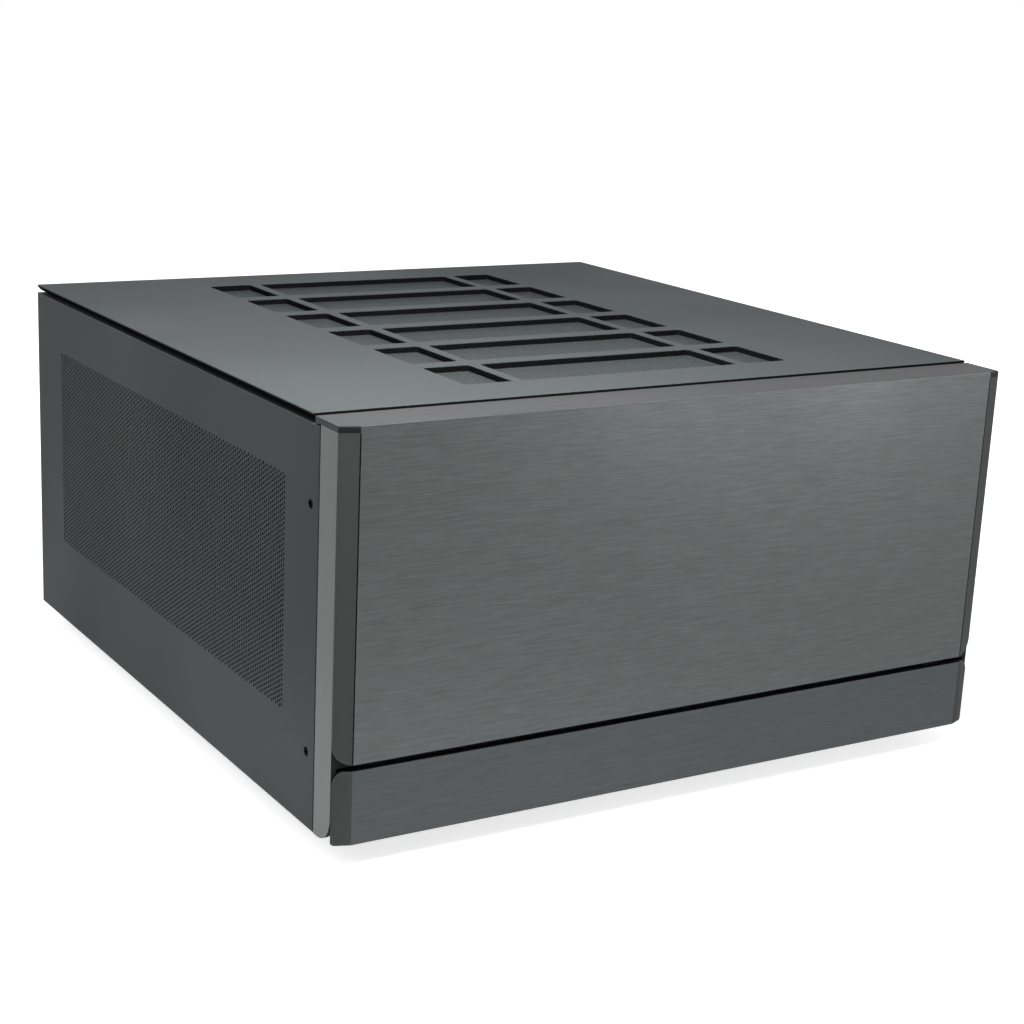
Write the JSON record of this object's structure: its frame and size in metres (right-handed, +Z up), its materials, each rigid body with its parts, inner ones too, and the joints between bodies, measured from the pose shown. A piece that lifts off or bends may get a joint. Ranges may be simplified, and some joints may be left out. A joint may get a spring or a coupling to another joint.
{
  "type": "htpc case",
  "caption": "Wide desktop computer case: windowed vent cover, perforated sides, brushed front with slanted corners and a flip-down door over the sockets.",
  "frame": {"origin": "centre of the footprint at the underside of the feet", "axes": "+X to the viewer's right seen from the front, +Y towards the back, +Z up"},
  "size_m": [0.44, 0.469, 0.2367],
  "materials": {
    "painted_steel": "matte black powder coat on steel",
    "panel_paint": "fine satin grey paint",
    "brushed_front": "dark anodised, brushed across",
    "bezel_plate": "dark anodised, fine blasted",
    "bezel_body": "satin grey moulding",
    "black_plastic": "fine matte moulding",
    "bright_steel": "zinc plated",
    "black_screws": "black oxide",
    "brass": "turned",
    "rubber": "matte",
    "circuit_board": "green solder mask",
    "clear_lens": "clear polished plastic",
    "magnet": "nickel plated"
  },
  "bodies": {
    "case": {"audio_jacks": "black_plastic", "bezel_frame": "bezel_body", "bezel_top_plate": "bezel_plate", "board_standoffs": "brass", "chassis_floor": "painted_steel", "cross_brace": "painted_steel", "door_magnets": "magnet", "drive_cage": "painted_steel", "fan_frame": "black_plastic", "foot_back_left": "rubber", "foot_back_right": "rubber", "foot_front_left": "rubber", "foot_front_right": "rubber", "foot_screws": "bright_steel", "front_fascia": "brushed_front", "front_wall": "painted_steel", "hinge_pins": "bright_steel", "led_lenses": "clear_lens", "left_corner_insert": "black_plastic", "left_dust_filter": "black_plastic", "left_panel_screws": "black_screws", "left_side_frame": "painted_steel", "left_side_panel": "panel_paint", "rear_panel": "painted_steel", "right_corner_insert": "black_plastic", "right_dust_filter": "black_plastic", "right_panel_screws": "black_screws", "right_side_frame": "painted_steel", "right_side_panel": "panel_paint", "slot_cover_1": "bright_steel", "slot_cover_2": "bright_steel", "slot_cover_3": "bright_steel", "slot_cover_4": "bright_steel", "slot_cover_5": "bright_steel", "slot_cover_6": "bright_steel", "slot_cover_7": "bright_steel", "slot_frame": "painted_steel", "slot_screws": "bright_steel", "socket_board": "circuit_board", "socket_panel": "black_plastic", "supply_pads": "rubber", "switch_board": "circuit_board", "thumbscrews": "bright_steel", "top_cover": "panel_paint", "usb_socket_1": "bright_steel", "usb_socket_2": "bright_steel", "vent_screen": "panel_paint"},
    "door": {"door": "brushed_front", "left_hinge_arm": "bright_steel", "right_hinge_arm": "bright_steel", "door_catches": "bright_steel"},
    "power_button": {"power_button": "black_plastic"},
    "reset_button": {"reset_button": "black_plastic"},
    "fan_rotor": {"fan_rotor": "black_plastic"}
  },
  "joints": [
    {"name": "door_hinge", "type": "hinge", "parent": "case", "child": "door", "pos_m": [0, -0.2177, 0.024], "axis": [1, 0, 0], "range_deg": [0, 90]},
    {"name": "power_press", "type": "slide", "parent": "case", "child": "power_button", "axis": [0, 1, 0], "range_m": [0, 0.001], "stiffness_N_per_m": 800, "springref_m": -0.001},
    {"name": "reset_press", "type": "slide", "parent": "case", "child": "reset_button", "axis": [0, 1, 0], "range_m": [0, 0.001], "stiffness_N_per_m": 800, "springref_m": -0.001},
    {"name": "fan_spin", "type": "hinge", "parent": "case", "child": "fan_rotor", "pos_m": [-0.2, 0.00525, 0.13315], "axis": [1, 0, 0], "continuous": true}
  ]
}
